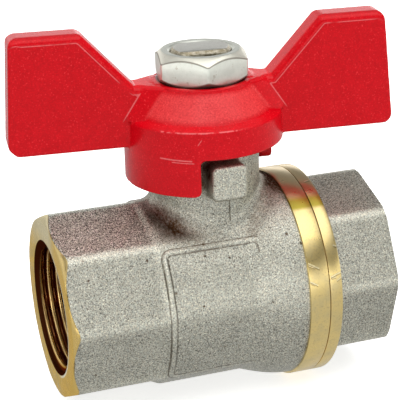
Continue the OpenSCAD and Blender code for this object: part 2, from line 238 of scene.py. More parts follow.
def piece(name, points, faces, body, nodes, finish, crease=40, normals=None):
    """A mesh piece from points in millimetres, riding on a body in place of its CAD nodes. Its edges
    sharper than the crease stay sharp, or it is shaded by the normals given."""
    mesh = bpy.data.meshes.new(name)
    mesh.from_pydata((points * MM).tolist(), [], faces.tolist() if isinstance(faces, np.ndarray) else faces)
    mesh.shade_smooth()
    if normals is None:
        mesh.set_sharp_from_angle(angle=math.radians(crease))
    else:
        length = np.linalg.norm(normals, axis=1, keepdims=True)
        mesh.normals_split_custom_set_from_vertices((normals / np.maximum(length, 1e-9)).tolist())
    mesh.materials.append(finish)
    made = bpy.data.objects.new(name, mesh)
    bpy.context.scene.collection.objects.link(made)
    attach(made, body)
    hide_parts(*nodes)
    return made


def mark(made, name, values):
    """Keeps a number at each vertex for the finish to read."""
    made.data.attributes.new(name, "FLOAT", "POINT").data.foreach_set("value", values.astype(np.float32))


def put(tree, kind, inputs=None, **settings):
    """Adds a node, sets its properties, and fills or links its inputs."""
    made = tree.nodes.new(kind)
    for key, value in settings.items():
        setattr(made, key, value)
    for key, value in (inputs or {}).items():
        if isinstance(value, bpy.types.NodeSocket):
            tree.links.new(value, made.inputs[key])
        else:
            made.inputs[key].default_value = value
    return made


def sums(tree, operation, *values, clamp=False):
    """One step of arithmetic on numbers or sockets."""
    node = put(tree, "ShaderNodeMath", dict(enumerate(values)), operation=operation, use_clamp=clamp)
    return node.outputs[0]


def times(tree, a, b):
    """Two numbers multiplied."""
    return sums(tree, "MULTIPLY", a, b)


def scaled(tree, value, gain, base):
    """A number times a gain, plus a base."""
    return sums(tree, "MULTIPLY_ADD", value, gain, base)


def kept(tree, name):
    """The number of that name that the mesh keeps at its vertices."""
    return put(tree, "ShaderNodeAttribute", attribute_name=name).outputs["Fac"]


def ramp(tree, factor, low, high, start=0.0, end=1.0):
    """A smooth step of the factor from start at low to end at high."""
    node = put(tree, "ShaderNodeMapRange", {0: factor, 1: low, 2: high, 3: start, 4: end},
               interpolation_type="SMOOTHSTEP", clamp=True)
    return node.outputs[0]


def blended(tree, factor, a, b):
    """Mixes two colours, from a at a factor of nought to b at one."""
    a, b = ((*tone, 1) if isinstance(tone, tuple) else tone for tone in (a, b))
    return put(tree, "ShaderNodeMix", {0: factor, 6: a, 7: b}, data_type="RGBA").outputs[2]


def noise(tree, where, scale, detail=2.0, roughness=0.5, offset=0.0):
    """Noise at a scale in lumps per millimetre."""
    moved = put(tree, "ShaderNodeVectorMath", {0: where, 1: (offset, offset, offset)}, operation="ADD")
    inputs = {"Vector": moved.outputs[0], "Scale": scale, "Detail": detail, "Roughness": roughness}
    return put(tree, "ShaderNodeTexNoise", inputs).outputs[0]


def tinted(tree, colour, factor, share, tone):
    """A colour moved towards a tone by a share of the factor."""
    return blended(tree, times(tree, factor, share), colour, tone)


def dimmed(tree, colour, factor):
    """A colour times a number."""
    return put(tree, "ShaderNodeVectorMath", {0: colour, "Scale": factor}, operation="SCALE").outputs[0]


def scratch(tree, u, v, start, end, width):
    """A thin mark from start to end on a surface with the coordinates u and v in millimetres."""
    (u0, v0), (u1, v1) = start, end
    length = math.hypot(u1 - u0, v1 - v0)
    du, dv = (u1 - u0) / length, (v1 - v0) / length
    along = scaled(tree, u, du, scaled(tree, v, dv, -du * u0 - dv * v0))
    aside = scaled(tree, v, du, scaled(tree, u, -dv, dv * u0 - du * v0))
    beyond = sums(tree, "ABSOLUTE", sums(tree, "SUBTRACT", along, length / 2))
    inside = ramp(tree, beyond, length / 2 + 0.1, length / 2 - 0.2)
    return times(tree, ramp(tree, sums(tree, "ABSOLUTE", aside), width, width * 0.3), inside)


def new_material(name, metallic, roughness):
    """A material with its tree, its shader and a vector in millimetres of the object's own place."""
    made = bpy.data.materials.new(name)
    made.use_nodes = True
    tree = made.node_tree
    shader = tree.nodes["Principled BSDF"]
    shader.inputs["Metallic"].default_value = metallic
    shader.inputs["Roughness"].default_value = roughness
    place = put(tree, "ShaderNodeTexCoord").outputs["Object"]
    where = put(tree, "ShaderNodeVectorMath", {0: place, 1: (1000, 1000, 1000)}, operation="MULTIPLY")
    return made, tree, shader, where.outputs[0]


def split(tree, where):
    """The three coordinates of a place."""
    return put(tree, "ShaderNodeSeparateXYZ", {0: where}).outputs[:3]


def from_axis(tree, a, b):
    """Distance from an axis, by its two coordinates."""
    return sums(tree, "SQRT", sums(tree, "ADD", times(tree, a, a), times(tree, b, b)))


def coat(tree, shader, colour, roughness, height, depth):
    """Gives the shader its colour, its roughness and a bump, depth millimetres deep for a height of one."""
    bump = put(tree, "ShaderNodeBump", {"Strength": 1.0, "Distance": depth * MM, "Height": height})
    for name, value in (("Base Color", colour), ("Roughness", roughness), ("Normal", bump.outputs[0])):
        tree.links.new(value, shader.inputs[name])


def blasted_nickel():
    """Sand-blasted nickel plate: warm grey with bright and dark grains, coarser on the top flats, a
    few rust pits, a dark line along the ribs and the parting line, brown patina with painted shade in
    the hollows and a painted shadow beside and under the lug, and painted light and shade by place."""
    made, tree, shader, where = new_material("blasted_nickel", 0.85, 0.4)
    grain = noise(tree, where, 3.0, 2.0, 0.6)
    fine = noise(tree, where, 5.5, 1.0, 0.5, 40)
    tint = noise(tree, where, 2.4, 2.0, 0.6, 61)
    patch = noise(tree, where, 0.20, 3.0, 0.6, 90)
    colour = blended(tree, ramp(tree, tint, 0.36, 0.64), (0.490, 0.468, 0.386), (0.468, 0.474, 0.412))
    x, y, z = split(tree, where)
    coarse = kept(tree, "coarse")
    level = sums(tree, "ADD", times(tree, sums(tree, "SUBTRACT", grain, 0.5), 2.0),
                 times(tree, sums(tree, "SUBTRACT", fine, 0.5), 2.9))
    level = scaled(tree, scaled(tree, coarse, 1.5, 1.0), level, 1.0)
    # Painted light and shade by place, kept at the vertices.
    painted_light = kept(tree, "painted_light")
    level = sums(tree, "ADD", level, painted_light)
    level = scaled(tree, patch, 0.30, sums(tree, "SUBTRACT", level, 0.15))
    cells = put(tree, "ShaderNodeTexVoronoi", {"Vector": where, "Scale": 3.0, "Randomness": 1.0})
    kind = put(tree, "ShaderNodeSeparateColor", {0: cells.outputs["Color"]}).outputs[0]
    small = ramp(tree, cells.outputs["Distance"], 0.42, 0.15)
    for low, high, gain in ((0.93, 0.94, 0.60), (0.09, 0.08, -0.50)):
        level = scaled(tree, times(tree, small, ramp(tree, kind, low, high)), gain, level)
    colour = blended(tree, coarse, colour, (0.464, 0.500, 0.424))
    colour = dimmed(tree, colour, sums(tree, "MAXIMUM", level, 0.12))
    pits = put(tree, "ShaderNodeTexVoronoi", {"Vector": where, "Scale": 0.42, "Randomness": 1.0})
    near = ramp(tree, pits.outputs["Distance"], 0.13, 0.06)
    chosen = put(tree, "ShaderNodeSeparateColor", {0: pits.outputs["Color"]}).outputs[0]
    pit = times(tree, near, ramp(tree, chosen, 0.74, 0.80))
    colour = tinted(tree, colour, pit, 0.9, (0.13, 0.075, 0.03))
    line = kept(tree, "rib_edge")
    edge = ramp(tree, sums(tree, "ABSOLUTE", sums(tree, "SUBTRACT", line, 0.62)), 0.22, 0.02)
    beside = parting_x + 0.28
    parting = scratch(tree, x, z, (beside, parting_low), (beside, parting_high), 0.20)
    edge = sums(tree, "MAXIMUM", edge, times(tree, parting, ramp(tree, y, -8.0, -9.0)))
    worn = ramp(tree, noise(tree, where, 0.9, 2.0, 0.5, 7), 0.30, 0.60)
    edge = times(tree, edge, scaled(tree, worn, 0.5, 0.5))
    colour = tinted(tree, colour, edge, 0.88, (0.13, 0.105, 0.075))
    # Brown patina and painted shade in the hollows, and a painted shadow beside and under the lug; the
    # reflection is dimmed there too.
    film = kept(tree, "patina_and_shade")
    streaks = put(tree, "ShaderNodeCombineXYZ", {0: times(tree, x, 1.6), 1: y, 2: times(tree, z, 0.5)})
    rough = noise(tree, streaks.outputs[0], 1.3, 3.0, 0.65, 17)
    film = sums(tree, "MULTIPLY", film, scaled(tree, rough, 2.6, -0.3), clamp=True)
    colour = blended(tree, film, colour, (0.085, 0.040, 0.014))
    tree.links.new(blended(tree, film, (1.0, 1.0, 1.0), (0.12, 0.07, 0.04)), shader.inputs["Specular Tint"])
    height = sums(tree, "SUBTRACT", scaled(tree, fine, 0.5, grain), times(tree, pit, 3.0))
    coat(tree, shader, colour, scaled(tree, grain, 0.14, 0.36), height, 0.085)
    return made


def painted_edge_highlight(y, z):
    """A painted highlight along the octagon's rounded edges."""
    around = np.arctan2(z, -y) - octagon_turn
    from_edge = np.abs((around + math.pi / 8) % (math.pi / 4) - math.pi / 8) * octagon_apothem
    return 0.24 * np.exp(-(from_edge / 1.1) ** 2) * (np.hypot(y, z) > octagon_apothem)


def hollows(points):
    """Brown patina and painted shade at each point: soft brown clouds in the hollows where neck, barrel
    and ring meet and a painted shadow beside the lug under the handle, the same on both sides, and a
    painted shadow line under the lug. Each cloud has its middle, reach and strength."""
    clouds = [(-12.0, 5.2, 18.2, 3.0, 0.70), (-9.8, 9.2, 16.4, 2.8, 0.85), (-6.5, 11.8, 14.8, 2.6, 0.35),
              (-2.5, 12.4, 14.2, 2.4, 0.20), (5.3, 12.2, 14.4, 1.5, 0.50), (11.5, 4.0, 20.3, 2.4, 0.75),
              (13.5, 0.5, 21.3, 1.4, 0.95), (13.5, 2.8, 21.1, 1.4, 0.90), (13.6, 5.0, 20.7, 1.3, 0.80),
              (13.7, 7.0, 20.1, 1.1, 0.65), (13.8, 8.8, 19.4, 0.8, 0.50), (9.5, 7.0, 18.9, 1.8, 0.60),
              (7.8, 9.2, 17.8, 1.5, 0.55), (6.2, 10.8, 16.6, 1.3, 0.50), (-5.5, 9.5, 26.0, 2.4, 0.45),
              (0.2, 10.8, 31.2, 2.2, 0.85), (-4.4, 10.4, 30.4, 2.0, 0.90), (-3.9, 12.6, 27.8, 1.9, 0.85),
              (-4.2, 11.0, 25.0, 1.5, 0.60)]
    film = np.zeros(len(points))
    for x, y, z, reach, strength in clouds:
        away = (points[:, 0] - STEM_X - x) ** 2 + (np.abs(points[:, 1]) - y) ** 2 + (points[:, 2] - z) ** 2
        film = film + strength * np.exp(-away / reach ** 2)
    aside = np.maximum(np.abs(points[:, 0] - STEM_X - 0.2) - 3.0, 0)
    under_lug = np.sqrt(aside ** 2 + (points[:, 1] + 14.5) ** 2 + (points[:, 2] - lug_low + 0.25) ** 2)
    film = film + 0.75 * np.exp(-(under_lug / 0.65) ** 2)
    return np.clip(film, 0, 0.95)


skin_step = 0.43
nickel = blasted_nickel()
body_skin = skinned(body_form, (-0.8, -22.6, -22.6), (seam_x + 0.8, 22.6, neck_top + 0.8), skin_step)
body = piece("body_forging", body_skin[0], body_skin[1], "housing", ["valve_body"], nickel,
             normals=body_skin[2])
skin_x, skin_y, skin_z = body_skin[0].T
off_panel = (np.hypot(skin_y, skin_z) > barrel_r + 0.9) | ((skin_x > STEM_X + 4.6) & (skin_z < 11.5))
mark(body, "rib_edge", np.where(off_panel, 9.0, rib_gap(*body_skin[0].T)))
# Brown patina and painted shade in the hollows, and painted shadow beside and under the lug.
mark(body, "patina_and_shade", hollows(body_skin[0]))
on_lug = (skin_y < -14.7) & (skin_z > lug_low)
# Painted light and shade on the body: lighter on the lug, the middle of the panel, the rib and the step
# where the barrel starts, darker under the barrel, lighter above and darker below on the octagon.
painted_light = 0.26 * on_lug + 0.22 * np.exp(-((skin_z - 5.2) / 4.5) ** 2) * (skin_x > barrel_start)
painted_light -= 0.12 * np.clip((0.0 - skin_z) / 6.0, 0, 1) * (skin_x > barrel_start)
painted_light += np.where(off_panel, 0, 0.20 * np.exp(-(rib_gap(*body_skin[0].T) / 0.42) ** 2))
painted_light += 0.14 * np.exp(-((skin_x - barrel_start - 0.3) / 0.9) ** 2) * (skin_z > 2.0)
painted_light += 0.05 * np.clip(skin_z - 1.5, -1, 1) * (skin_x < barrel_start)
mark(body, "painted_light", painted_light + painted_edge_highlight(skin_y, skin_z) * (skin_x < barrel_start))
past_edge = np.degrees(np.arctan2(skin_z, -skin_y) - octagon_turn) - 45
on_top_flats = np.clip((past_edge - 1.0) / 3.0, 0, 1) * np.clip((89.0 - past_edge) / 3.0, 0, 1)
mark(body, "coarse", on_top_flats * np.clip((barrel_start + 2.0 - skin_x) / 3.0, 0, 1))

# ---------------------------------------------------------------------------------------------
# Machined mouth of each end: the turned face, the chamfer that cuts the octagon's edges in arcs,
# and the pipe thread. Turning removed the plating, so the bare brass shows.
# ---------------------------------------------------------------------------------------------
thread_r = 13.25
thread_pitch = 1.814
thread_depth = 1.16
thread_length = 15.5
outlet_face_r = 19.0


def lathed(stations, turns=256):
    """A closed ring surface: each station gives radius and place for every angle round the axis."""
    angle = np.linspace(0, 2 * math.pi, turns, endpoint=False)
    rows = [s(angle) for s in stations]
    radius = np.array([np.broadcast_to(r, angle.shape) for r, _ in rows])
    along = np.array([np.broadcast_to(a, angle.shape) for _, a in rows])
    index = np.arange(len(rows) * turns).reshape(len(rows), turns)
    here, there = index, np.roll(index, -1, 0)
    quads = np.stack([here, there, np.roll(there, -1, 1), np.roll(here, -1, 1)], -1).reshape(-1, 4)
    return angle, radius, along, quads


def on_pipe(angle, radius, along, start=0.0, side=1):
    """Places a ring surface on the pipe axis, from a mouth inwards."""
    y, z = -radius * np.cos(angle), side * radius * np.sin(angle)
    return np.stack([start + side * along, y, z], -1).reshape(-1, 3)


def octagon_radius(angle):
    """Radius of the octagon at an angle round the pipe, found by halving the distance to it."""
    low, high = np.full_like(angle, 15.0), np.full_like(angle, 21.0)
    for _ in range(40):
        middle = (low + high) / 2
        y, z = -middle * np.cos(angle), middle * np.sin(angle)
        out = octagon_distance(y, z, octagon_apothem, octagon_round) > 0
        low, high = np.where(out, low, middle), np.where(out, middle, high)
    return (low + high) / 2


def thread_radius(angle, along):
    """Radius of the thread at a place: rounded crests and roots along a helix."""
    turn = (along / thread_pitch - angle / (2 * math.pi)) % 1
    flank = np.abs(turn - 0.5) * 2
    tooth = np.clip((flank - 0.16) / 0.68, 0, 1)
    return thread_r - thread_depth * (0.5 - 0.5 * np.cos(math.pi * tooth)) ** 0.85


def fixed(radius, along):
    """A station that is the same all round."""
    return lambda angle: (radius, along)


def mouth_stations(mirror, face_r, shy=0.0):
    """The machined skin: back of the chamfer, chamfer, face, countersink, thread and hidden back. Its
    outer edge stays shy of the octagon's where the plate reaches round onto the chamfer."""
    def chamfer(share, inset=0.0):
        def station(angle):
            outer = octagon_radius(mirror * angle) - shy
            inner = np.minimum(face_r + 0.03, outer - 0.06)
            radius = inner + (outer - inner) * share - inset
            return radius, np.maximum(radius + inset - face_r, 0) + inset
        return station

    def rim(inset):
        return lambda angle: (np.minimum(face_r, octagon_radius(mirror * angle) - shy) - inset, 0 * angle)

    def thread(along):
        return lambda angle: (np.maximum(thread_radius(mirror * angle, along), 13.8 - 2.2 * along), along)

    stations = [chamfer(1.0, 0.35), chamfer(1.0, 0.02), chamfer(0.97), chamfer(0.5), chamfer(0.02)]
    stations += [rim(0.15), fixed(17.0, 0.0), fixed(15.4, 0.0), fixed(13.9, 0.0), fixed(13.8, 0.03)]
    stations += [thread(along) for along in np.linspace(0.06, thread_length, 170)]
    stations += [fixed(13.7, thread_length), fixed(13.7, 3.0), fixed(15.0, 1.2), fixed(17.6, 0.35)]
    return stations


def turned_brass():
    """Bare turned brass: tan, paler towards the top and more golden on the front side, with a painted
    highlight along the lip of the hole on the front side, and threads with golden crests and dark
    brown roots of cutting oil and painted shade."""
    made, tree, shader, where = new_material("turned_brass", 1.0, 0.3)
    x, y, z = split(tree, where)
    radius = from_axis(tree, y, z)
    lines = put(tree, "ShaderNodeCombineXYZ", {0: radius, 1: x, 2: 0.0}).outputs[0]
    tool = noise(tree, lines, 3.2, 3.0, 0.6)
    film = noise(tree, where, 0.35, 3.0, 0.6, 12)
    colour = blended(tree, ramp(tree, film, 0.42, 0.60), (0.80, 0.57, 0.20), (0.66, 0.50, 0.21))
    colour = tinted(tree, colour, ramp(tree, z, 7.0, 17.0), 0.8, (0.70, 0.65, 0.46))
    blot = noise(tree, where, 0.9, 3.0, 0.65, 48)
    colour = tinted(tree, colour, ramp(tree, blot, 0.54, 0.68), 0.45, (0.46, 0.40, 0.27))
    colour = tinted(tree, colour, ramp(tree, tool, 0.45, 0.75), 0.25, (0.36, 0.25, 0.10))
    near = ramp(tree, y, -2.0, -8.0)
    colour = tinted(tree, colour, near, 0.7, (0.78, 0.56, 0.19))
    # A painted highlight along the lip of the hole, on the front side.
    lip_highlight = times(tree, ramp(tree, radius, 14.35, 14.1), near)
    colour = tinted(tree, colour, lip_highlight, 0.85, (0.97, 0.90, 0.70))
    deep = ramp(tree, radius, 13.79, 13.72)
    inwards = sums(tree, "MINIMUM", x, sums(tree, "SUBTRACT", OVERALL, x))
    past_cone = ramp(tree, inwards, 0.75, 1.0)
    # Thread roots: dark brown cutting oil with painted shade, darkest right at the mouth.
    oil_and_shade = blended(tree, past_cone, (0.060, 0.018, 0.006), (0.26, 0.095, 0.032))
    crest = times(tree, ramp(tree, radius, 12.62, 12.30), past_cone)
    thread = blended(tree, crest, oil_and_shade, (0.92, 0.66, 0.28))
    colour = blended(tree, deep, colour, thread)
    glance = blended(tree, ramp(tree, blot, 0.45, 0.62), (0.93, 0.78, 0.46), (0.90, 0.82, 0.62))
    glance = blended(tree, ramp(tree, z, 7.0, 17.0), glance, (1.0, 0.96, 0.82))
    glance = tinted(tree, glance, near, 0.8, (0.92, 0.74, 0.40))
    glance = blended(tree, lip_highlight, glance, (1.0, 1.0, 0.95))
    # Painted shade dims the reflection in the threads.
    glance = blended(tree, deep, glance, (0.34, 0.13, 0.05))
    tree.links.new(glance, shader.inputs["Specular Tint"])
    coated = times(tree, deep, ramp(tree, inwards, 1.0, 0.75))
    dull = scaled(tree, coated, 0.35, scaled(tree, film, 0.25, 0.16))
    coat(tree, shader, colour, dull, scaled(tree, film, 0.6, tool), 0.02)
    return made


brass = turned_brass()
inlet_ring = lathed(mouth_stations(1, inlet_face_r))
piece("inlet_mouth", on_pipe(*inlet_ring[:3]), inlet_ring[3], "housing", ["valve_body"],
      brass)
outlet_ring = lathed(mouth_stations(-1, outlet_face_r, 0.6))
piece("outlet_mouth", on_pipe(*outlet_ring[:3], OVERALL, -1), outlet_ring[3], "housing", ["end_connector"],
      brass)

# ---------------------------------------------------------------------------------------------
# End connector: the second brass forging, plated like the body. It is screwed into the body by a
# spigot that stays hidden, where it presses on a gasket and a seat. Its octagon takes the spanner.
# ---------------------------------------------------------------------------------------------


def connector_stations():
    """Octagon from the mouth to the ring, the hidden spigot with its seat pocket, and the bore."""
    def bar(along, inset=0.0, grow=0.0):
        def station(angle):
            radius = octagon_radius(-angle)
            return np.minimum(radius, outlet_face_r + along - inset) - inset * 0.5 + grow, along + 0 * angle
        return station

    spigot = OVERALL - STEM_X
    stations = [fixed(13.8, 0.3), fixed(17.0, 0.3), fixed(17.1, 0.04)]
    stations += [bar(0.03, 0.34), bar(0.05, 0.26), bar(0.12, 0.14)]
    stations += [bar(along, 0.04) for along in (0.32, 0.6, 0.9, 1.4)]
    stations += [bar(along) for along in (1.7, 4.0, 7.0, 10.0, 12.3)]
    for turn in np.linspace(0, math.pi / 2, 7)[1:]:
        stations.append(bar(12.3 + 1.3 * math.sin(turn), 0, 1.3 * (1 - math.cos(turn))))
    stations += [fixed(21.2, 13.62), fixed(21.2, 16.28), fixed(17.2, 16.3), fixed(17.2, spigot - 9.8)]
    stations += [fixed(seat_pocket_r, spigot - 9.8), fixed(seat_pocket_r, spigot - seat_back)]
    stations += [fixed(waterway_r, spigot - seat_back), fixed(waterway_r, 18.8)]
    stations += [fixed(13.7, 15.5), fixed(13.8, 15.4)]
    return stations


connector_ring = lathed(connector_stations(), 360)
connector_skin = on_pipe(*connector_ring[:3], OVERALL, -1)
connector = piece("end_connector_forging", connector_skin, connector_ring[3], "housing", ["end_connector"],
                  nickel)
connector_y, connector_z = connector_skin[:, 1:].T
# Painted light and shade on the connector: a little lighter above and darker below, darker again at the top,
# with painted highlights along the octagon's edges.
painted_light_by_height = 0.07 * np.clip(connector_z - 1.5, -1, 1) - 0.26 * np.clip(connector_z - 14.7, 0, 1)
mark(connector, "painted_light", painted_edge_highlight(connector_y, connector_z) + painted_light_by_height)

# ---------------------------------------------------------------------------------------------
# Flange rims: body and connector meet in two flanges that are turned to one diameter in bare
# brass. A fine dark seam is left between them.
# ---------------------------------------------------------------------------------------------

rim_scratches = [
    ((14.1, 9.6), (16.3, 8.2), 0.16), ((14.1, 9.2), (15.4, 8.5), 0.12), ((14.0, 6.0), (15.6, 5.0), 0.16),
    ((14.0, 5.7), (15.0, 5.2), 0.12), ((18.4, 6.2), (20.7, 6.9), 0.16), ((18.5, 6.0), (19.6, 6.1), 0.14),
    ((19.6, 5.3), (20.7, 5.9), 0.14), ((19.9, 12.4), (20.7, 12.0), 0.20), ((19.2, 28.3), (20.4, 28.6), 0.22)]


def rim_stations(start, end, bevel_start, bevel_end):
    """Rectangle section from start to end along the pipe with bevels at both edges."""
    inner = ring_r - 1.4
    near, far = bevel_start * 0.3, bevel_end * 0.3
    corners = [(inner, start), (ring_r - bevel_start, start), (ring_r - near, start + near),
               (ring_r, start + bevel_start), (ring_r, start + (end - start) / 2), (ring_r, end - bevel_end),
               (ring_r - far, end - far), (ring_r - bevel_end, end), (inner, end)]
    return [fixed(r, along) for r, along in reversed(corners)]


def rim_brass():
    """Satin turned brass of the rims: fine lines round the pipe, a film in patches, painted shade towards
    the top with a painted brown reflection band, and the few bright scratches that a spanner left,
    each with a painted shadow along its lower edge."""
    made, tree, shader, where = new_material("rim_brass", 1.0, 0.3)
    x, y, z = split(tree, where)
    lines = put(tree, "ShaderNodeCombineXYZ", {0: x, 1: 0.0, 2: 0.0}).outputs[0]
    tool = noise(tree, lines, 6.0, 3.0, 0.6)
    film = noise(tree, where, 0.3, 3.0, 0.6, 21)
    specks = noise(tree, where, 2.4, 3.0, 0.7, 33)
    colour = blended(tree, ramp(tree, film, 0.35, 0.7), (0.86, 0.67, 0.28), (0.74, 0.60, 0.29))
    colour = tinted(tree, colour, ramp(tree, specks, 0.50, 0.72), 0.45, (0.50, 0.38, 0.20))
    # Painted shade towards the top, and a painted brown reflection band near it.
    colour = tinted(tree, colour, ramp(tree, z, 18.6, 19.6), 0.7, (0.58, 0.47, 0.30))
    painted_band = times(tree, ramp(tree, z, 17.6, 18.2), ramp(tree, z, 19.9, 19.0))
    colour = blended(tree, painted_band, colour, (0.44, 0.37, 0.06))
    round_pipe = times(tree, sums(tree, "ARCTAN2", z, times(tree, y, -1.0)), ring_r)
    from_stem = sums(tree, "SUBTRACT", x, STEM_X)
    below = sums(tree, "ADD", round_pipe, 0.26)
    # Bright scratches, each with a painted shadow along its lower edge.
    marks, shade = 0.0, 0.0
    for start, end, width in rim_scratches:
        marks = sums(tree, "MAXIMUM", scratch(tree, from_stem, round_pipe, start, end, width), marks)
        shade = sums(tree, "MAXIMUM", scratch(tree, from_stem, below, start, end, width), shade)
    colour = tinted(tree, colour, marks, 0.75, (0.98, 0.90, 0.60))
    colour = tinted(tree, colour, shade, 0.6, (0.30, 0.20, 0.08))
    height = sums(tree, "SUBTRACT", times(tree, tool, 0.35), times(tree, marks, 1.5))
    coat(tree, shader, colour, scaled(tree, film, 0.16, 0.22), height, 0.02)
    return made


rim_metal = rim_brass()
body_rim = lathed(rim_stations(ring_start, seam_x - 0.06, 0.15, 0.12), 360)
piece("body_flange_rim", on_pipe(*body_rim[:3]), body_rim[3], "housing", ["valve_body"],
      rim_metal)
connector_rim = lathed(rim_stations(seam_x + 0.06, ring_end, 0.12, 0.3), 360)
piece("connector_flange_rim", on_pipe(*connector_rim[:3]), connector_rim[3], "housing", ["end_connector"],
      rim_metal)

# ---------------------------------------------------------------------------------------------
# Ball, seats, gasket and stem seals: inside the valve, seen only down the bore. The ball is
# hard-chromed brass, the seats are turned from fluoropolymer, and the seals are rubber.
# ---------------------------------------------------------------------------------------------


def plain_finish(name, colours, metallic, roughness, scale, depth):
    """A finish of two near tones in soft patches, with a fine bump."""
    made, tree, shader, where = new_material(name, metallic, roughness)
    tone = noise(tree, where, scale, 3.0, 0.55)
    colour = blended(tree, ramp(tree, tone, 0.35, 0.65), *colours)
    dull = scaled(tree, tone, 0.12, roughness - 0.06)
    coat(tree, shader, colour, dull, noise(tree, where, scale * 6, 2.0), depth)
    return made


def dress(node, finish):
    """Gives a CAD node its finish."""
    obj = frame["nodes"][node]
    obj.data.materials.clear()
    obj.data.materials.append(finish)


inner_finishes = {
    "ball_chrome": ("chromed_ball", ("ball",),
                    ((0.74, 0.75, 0.77), (0.66, 0.67, 0.69)), 1.0, 0.16, 0.4, 0.002),
    "seat_fluoropolymer": ("ptfe", ("inlet_seat", "outlet_seat", "thrust_washer"),
                           ((0.86, 0.86, 0.84), (0.80, 0.80, 0.77)), 0.0, 0.45, 0.6, 0.01),
    "green_fibre": ("gasket_fibre", ("body_gasket",),
                    ((0.06, 0.22, 0.15), (0.10, 0.28, 0.19)), 0.0, 0.7, 1.2, 0.03),
    "black_rubber": ("seal_rubber", ("lower_stem_seal", "upper_stem_seal"),
                     ((0.02, 0.02, 0.02), (0.035, 0.033, 0.03)), 0.0, 0.55, 0.8, 0.02)}
for name, (slot, nodes, *looks) in inner_finishes.items():
    finish = plain_finish(name, *looks)
    for node in nodes:
        dress(node, finish)

# ---------------------------------------------------------------------------------------------
# Stem: turned from brass bar and plated. Its tongue drives the ball, its collar keeps it in, and
# its threaded top has two flats for the handle.
# ---------------------------------------------------------------------------------------------
HANDLE_TURN = math.radians(-7)
stem_r, stem_flat = 6.0, 4.0
stem_top = 49.8
tongue_foot, tongue_half, tongue_r = 11.3, 2.85, 7.5
collar_low, collar_high, collar_r = 15.9, 18.3, 8.0
seal_grooves, groove_r = ((22.4, 24.4), (26.4, 28.4)), 4.55
stem_thread_low, stem_thread_high = 34.0, 49.2


def about_stem(points, turn=HANDLE_TURN):
    """Turns points about the stem axis and moves them to their place on the pipe."""
    c, s = math.cos(turn), math.sin(turn)
    x, y, z = points[:, 0], points[:, 1], points[:, 2]
    return np.stack([STEM_X + c * x - s * y, s * x + c * y, z], 1)


def capped(angle, radius, height):
    """An upright turned surface from its rows of radii and heights, closed by a fan of triangles
    round a middle point at each end."""
    rows, turns = radius.shape
    points = np.stack([radius * np.cos(angle), radius * np.sin(angle), height], -1).reshape(-1, 3)
    index = np.arange(rows * turns).reshape(rows, turns)
    low, high = index[:-1], index[1:]
    quads = np.stack([low, np.roll(low, -1, 1), np.roll(high, -1, 1), high], -1).reshape(-1, 4)
    ends = np.array([[0, 0, height[0].mean()], [0, 0, height[-1].mean()]])
    foot, head = np.full(turns, rows * turns), np.full(turns, rows * turns + 1)
    under = np.stack([foot, np.roll(index[0], -1), index[0]], -1)
    over = np.stack([head, index[-1], np.roll(index[-1], -1)], -1)
    return np.concatenate([points, ends]), quads.tolist() + under.tolist() + over.tolist()


def stem_surface():
    """Rows up the stem: tongue, collar, seal grooves, thread with its two flats, and rough top."""
    turns = 240
    angle = np.linspace(0, 2 * math.pi, turns, endpoint=False)
    tongue = tongue_half / np.maximum(np.abs(np.cos(angle)), 1e-6)
    flats = stem_flat / np.maximum(np.abs(np.sin(angle)), 1e-6)
    rows = []

    def ring(z, r):
        rows.append((np.broadcast_to(r, angle.shape), np.full_like(angle, z)))

    for z in (tongue_foot, collar_low):
        ring(z, np.minimum(tongue_r, tongue))
    steps = [(collar_low, collar_r), (collar_high, collar_r), (collar_high, stem_r)]
    for low, high in seal_grooves:
        steps += [(low, stem_r), (low, groove_r), (high, groove_r), (high, stem_r)]
    for z, r in steps + [(stem_thread_low, stem_r)]:
        ring(z, r)
    pitch, depth = 1.25, 0.7
    for z in np.linspace(stem_thread_low, stem_thread_high, 250):
        turn = (z / pitch - angle / (2 * math.pi)) % 1
        groove = depth * np.clip(np.abs(turn - 0.5) * 2.6 - 0.2, 0, 1)
        ring(z, np.minimum(stem_r - groove, flats))
    rough = 0.05 * np.sin(angle * 7 + 1) + 0.03 * np.sin(angle * 17)
    sheared = np.where(np.sin(angle) < 0, 1.0, 0.15)
    for z, r, cut in ((49.30, 5.75, 0.25), (49.6, 5.5, 0.60), (49.78, 5.35, 0.95)):
        ring(z, np.minimum(r + rough, flats * (1 - cut * sheared * (0.9 + 2 * rough) / stem_flat)))
    face = np.minimum(5.3, flats * (1 - 0.95 * sheared / stem_flat))
    for share in (0.8, 0.5, 0.2):
        ring(stem_top + 0.04 * (1 - share), face * share)
    radius, height = (np.array(part) for part in zip(*rows))
    return capped(angle, radius, height)


def stem_nickel():
    """Nickel plate on the turned stem, dull and pitted where it was sheared."""
    made, tree, shader, where = new_material("stem_nickel", 1.0, 0.4)
    spots = noise(tree, where, 1.4, 3.0, 0.65)
    grain = noise(tree, where, 4.0, 2.0, 0.5, 5)
    colour = blended(tree, ramp(tree, spots, 0.38, 0.62), (0.36, 0.31, 0.21), (0.62, 0.57, 0.45))
    on_top = ramp(tree, split(tree, where)[2], stem_top - 0.08, stem_top - 0.01)
    colour = blended(tree, on_top, colour, blended(tree, grain, (0.51, 0.505, 0.46), (0.65, 0.645, 0.59)))
    coat(tree, shader, colour, scaled(tree, spots, 0.2, 0.32), scaled(tree, spots, 1.5, grain), 0.06)
    return made


stem_points, stem_faces = stem_surface()
piece("stem_spindle", about_stem(stem_points), stem_faces, "spindle", ["stem"],
      stem_nickel(), 35)

# ---------------------------------------------------------------------------------------------
# Handle: a zinc die casting in red lacquer, with a hub, a skirt with a window for the stop lug,
# and two wings. The die left a fine ledge just inside the wings' rounded edges.
# ---------------------------------------------------------------------------------------------
wing_half = 3.4


